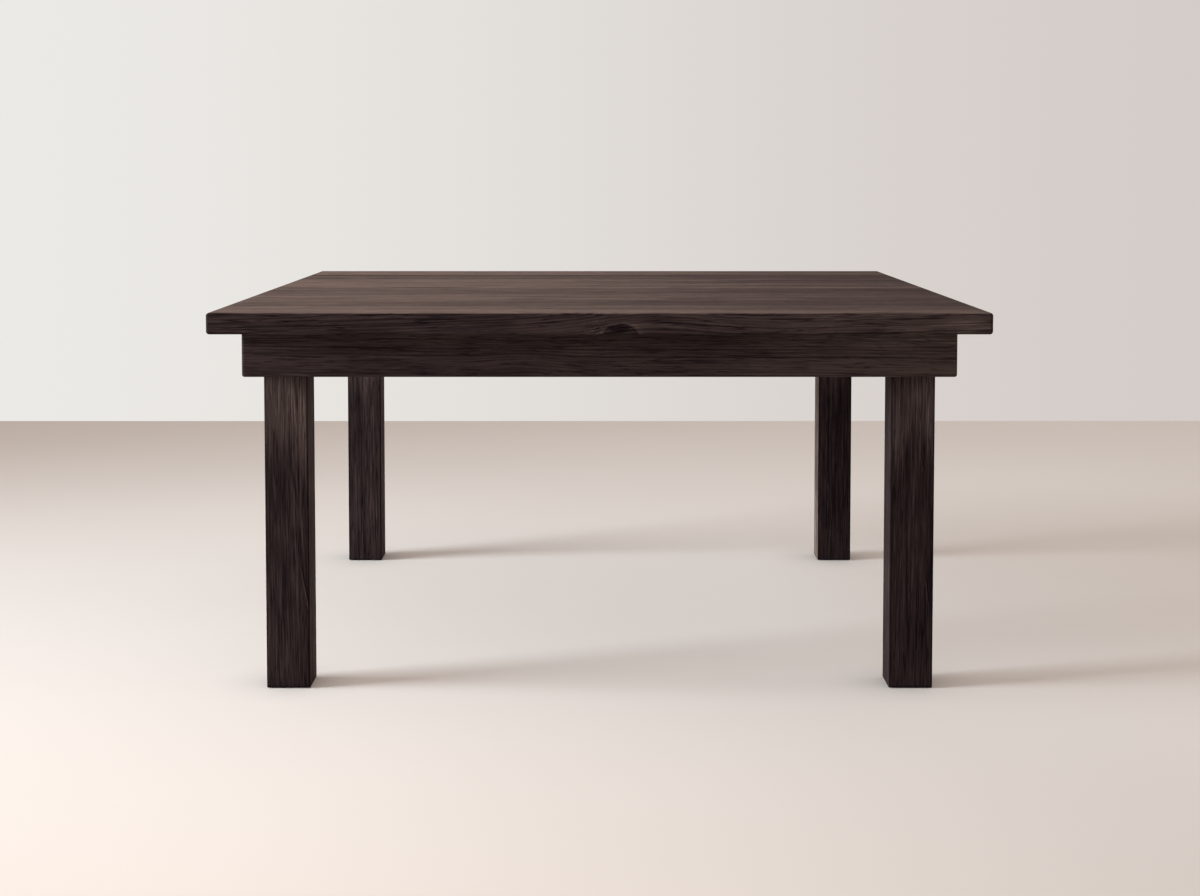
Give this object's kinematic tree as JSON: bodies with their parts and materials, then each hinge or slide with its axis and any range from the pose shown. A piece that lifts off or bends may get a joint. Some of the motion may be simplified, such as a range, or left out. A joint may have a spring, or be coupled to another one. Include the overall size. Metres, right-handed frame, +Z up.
{
  "type": "dining table",
  "caption": "Square dining table in dark stained wood: a thick plank top over a set-in mitred apron, with square legs bolted inside its corners on screw levelling feet.",
  "frame": {"origin": "on the floor under the middle of the top", "axes": "+Z up, -Y towards the front of the table, X along the boards of the top"},
  "size_m": [1.524, 1.524, 0.762],
  "materials": {
    "top_wood": "dark stain under a matte clear coat",
    "apron_wood": "dark stain under a matte clear coat",
    "leg_wood": "dark stain under a matte clear coat",
    "inner_wood": "thin dark stain, uncoated",
    "spline_wood": "bare hardwood",
    "zinc_steel": "bright zinc plate",
    "insert_brass": "turned, unpolished",
    "pad_nylon": "moulded black nylon"
  },
  "bodies": {
    "table": {"top_board_1": "top_wood", "top_board_2": "top_wood", "top_board_3": "top_wood", "top_board_4": "top_wood", "top_board_5": "top_wood", "top_board_6": "top_wood", "top_board_7": "top_wood", "top_board_8": "top_wood", "board_spline_1": "spline_wood", "board_spline_2": "spline_wood", "board_spline_3": "spline_wood", "board_spline_4": "spline_wood", "board_spline_5": "spline_wood", "board_spline_6": "spline_wood", "board_spline_7": "spline_wood", "apron_front": "apron_wood", "apron_right": "apron_wood", "apron_back": "apron_wood", "apron_left": "apron_wood", "mitre_spline_front_left": "spline_wood", "corner_block_front_left": "inner_wood", "leg_front_left": "leg_wood", "leveller_insert_front_left": "insert_brass", "mitre_spline_front_right": "spline_wood", "corner_block_front_right": "inner_wood", "leg_front_right": "leg_wood", "leveller_insert_front_right": "insert_brass", "mitre_spline_back_right": "spline_wood", "corner_block_back_right": "inner_wood", "leg_back_right": "leg_wood", "leveller_insert_back_right": "insert_brass", "mitre_spline_back_left": "spline_wood", "corner_block_back_left": "inner_wood", "leg_back_left": "leg_wood", "leveller_insert_back_left": "insert_brass", "cross_rail_left": "inner_wood", "cross_rail_right": "inner_wood", "corner_block_screws": "zinc_steel", "hanger_bolts": "zinc_steel", "hanger_washers": "zinc_steel", "hanger_nuts": "zinc_steel", "top_clips": "zinc_steel", "top_clip_screws": "zinc_steel"},
    "foot_front_left": {"leveller_pad_front_left": "pad_nylon"},
    "stem_front_left": {"leveller_stem_front_left": "zinc_steel"},
    "foot_front_right": {"leveller_pad_front_right": "pad_nylon"},
    "stem_front_right": {"leveller_stem_front_right": "zinc_steel"},
    "foot_back_right": {"leveller_pad_back_right": "pad_nylon"},
    "stem_back_right": {"leveller_stem_back_right": "zinc_steel"},
    "foot_back_left": {"leveller_pad_back_left": "pad_nylon"},
    "stem_back_left": {"leveller_stem_back_left": "zinc_steel"}
  },
  "joints": [
    {"name": "foot_travel_front_left", "type": "slide", "parent": "table", "child": "foot_front_left", "axis": [0, 0, -1], "range_m": [0, 0.012]},
    {"name": "stem_turn_front_left", "type": "hinge", "parent": "foot_front_left", "child": "stem_front_left", "pos_m": [-0.6235, -0.6235, 0.02], "axis": [0, 0, -1], "range_deg": [0, 3460]},
    {"name": "foot_travel_front_right", "type": "slide", "parent": "table", "child": "foot_front_right", "axis": [0, 0, -1], "range_m": [0, 0.012]},
    {"name": "stem_turn_front_right", "type": "hinge", "parent": "foot_front_right", "child": "stem_front_right", "pos_m": [0.6235, -0.6235, 0.02], "axis": [0, 0, -1], "range_deg": [0, 3460]},
    {"name": "foot_travel_back_right", "type": "slide", "parent": "table", "child": "foot_back_right", "axis": [0, 0, -1], "range_m": [0, 0.012]},
    {"name": "stem_turn_back_right", "type": "hinge", "parent": "foot_back_right", "child": "stem_back_right", "pos_m": [0.6235, 0.6235, 0.02], "axis": [0, 0, -1], "range_deg": [0, 3460]},
    {"name": "foot_travel_back_left", "type": "slide", "parent": "table", "child": "foot_back_left", "axis": [0, 0, -1], "range_m": [0, 0.012]},
    {"name": "stem_turn_back_left", "type": "hinge", "parent": "foot_back_left", "child": "stem_back_left", "pos_m": [-0.6235, 0.6235, 0.02], "axis": [0, 0, -1], "range_deg": [0, 3460]}
  ],
  "couplings": [
    {"joint": "stem_turn_front_left", "follows": "foot_travel_front_left", "rad_per_m": 5026.5},
    {"joint": "stem_turn_front_right", "follows": "foot_travel_front_right", "rad_per_m": 5026.5},
    {"joint": "stem_turn_back_right", "follows": "foot_travel_back_right", "rad_per_m": 5026.5},
    {"joint": "stem_turn_back_left", "follows": "foot_travel_back_left", "rad_per_m": 5026.5}
  ]
}
